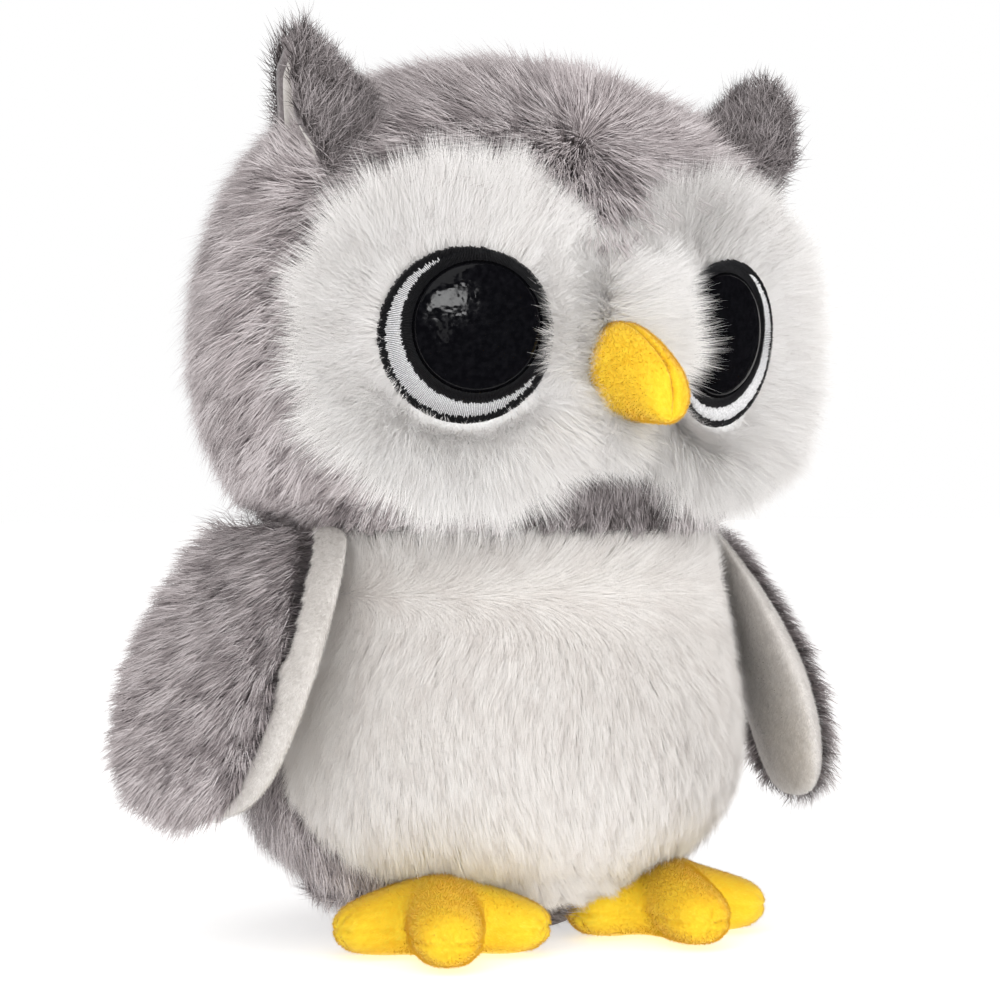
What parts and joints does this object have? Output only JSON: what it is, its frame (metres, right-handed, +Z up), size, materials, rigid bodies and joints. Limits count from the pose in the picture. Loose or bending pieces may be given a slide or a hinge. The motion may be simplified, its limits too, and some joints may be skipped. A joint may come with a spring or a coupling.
{
  "type": "plush owl",
  "caption": "Sitting plush owl with a long-pile head and body, round embroidered eyes, stuffed beak, ear tufts, flap wings that swing at the shoulder seams and toed feet.",
  "frame": {"origin": "point of the flat base panel under the neck's centre, on the surface that the owl sits on", "axes": "+Z up through the neck, the face looks along -Y, the owl's right side is at -X"},
  "size_m": [0.2026, 0.1529, 0.2301],
  "materials": {
    "grey_plush": "long brushed pile, matte",
    "white_plush": "long brushed pile, matte",
    "white_velboa": "short pile, matte",
    "yellow_velboa": "short pile, matte",
    "black_stitching": "satin stitch",
    "white_stitching": "satin stitch",
    "black_gloss": "glossy film",
    "polyester_fibre": "loose fibre filling",
    "bag_cloth": "plain woven cloth over pellets"
  },
  "bodies": {
    "body": {"body_back_panel": "grey_plush", "belly_panel": "white_plush", "base_panel": "grey_plush", "body_stuffing": "polyester_fibre", "pellet_bag": "bag_cloth", "foot_upper_right": "yellow_velboa", "foot_sole_right": "yellow_velboa", "foot_stuffing_right": "polyester_fibre", "foot_upper_left": "yellow_velboa", "foot_sole_left": "yellow_velboa", "foot_stuffing_left": "polyester_fibre"},
    "head": {"head_cover": "grey_plush", "face_mask": "white_plush", "head_stuffing": "polyester_fibre", "eye_patch_right": "black_stitching", "eye_crescent_right": "white_stitching", "pupil_right": "black_gloss", "eye_patch_left": "black_stitching", "eye_crescent_left": "white_stitching", "pupil_left": "black_gloss", "beak_cover": "yellow_velboa", "beak_stuffing": "polyester_fibre", "ear_outer_right": "grey_plush", "ear_lining_right": "white_velboa", "ear_outer_left": "grey_plush", "ear_lining_left": "white_velboa"},
    "wing_right": {"wing_outer_right": "grey_plush", "wing_lining_right": "white_velboa", "wing_padding_right": "polyester_fibre"},
    "wing_left": {"wing_outer_left": "grey_plush", "wing_lining_left": "white_velboa", "wing_padding_left": "polyester_fibre"}
  },
  "joints": [
    {"name": "head_turn", "type": "hinge", "parent": "body", "child": "head", "pos_m": [0, 0, 0.1062], "axis": [0, 0, 1], "range_deg": [-15, 15], "stiffness_Nm_per_rad": 0.3},
    {"name": "wing_right_swing", "type": "hinge", "parent": "body", "child": "wing_right", "pos_m": [-0.06342, 0.001, 0.1035], "axis": [-0.2924, 0.9563, 0], "range_deg": [-10, 60], "stiffness_Nm_per_rad": 0.08},
    {"name": "wing_left_swing", "type": "hinge", "parent": "body", "child": "wing_left", "pos_m": [0.06342, 0.001, 0.1035], "axis": [-0.2924, -0.9563, 0], "range_deg": [-10, 60], "stiffness_Nm_per_rad": 0.08}
  ]
}
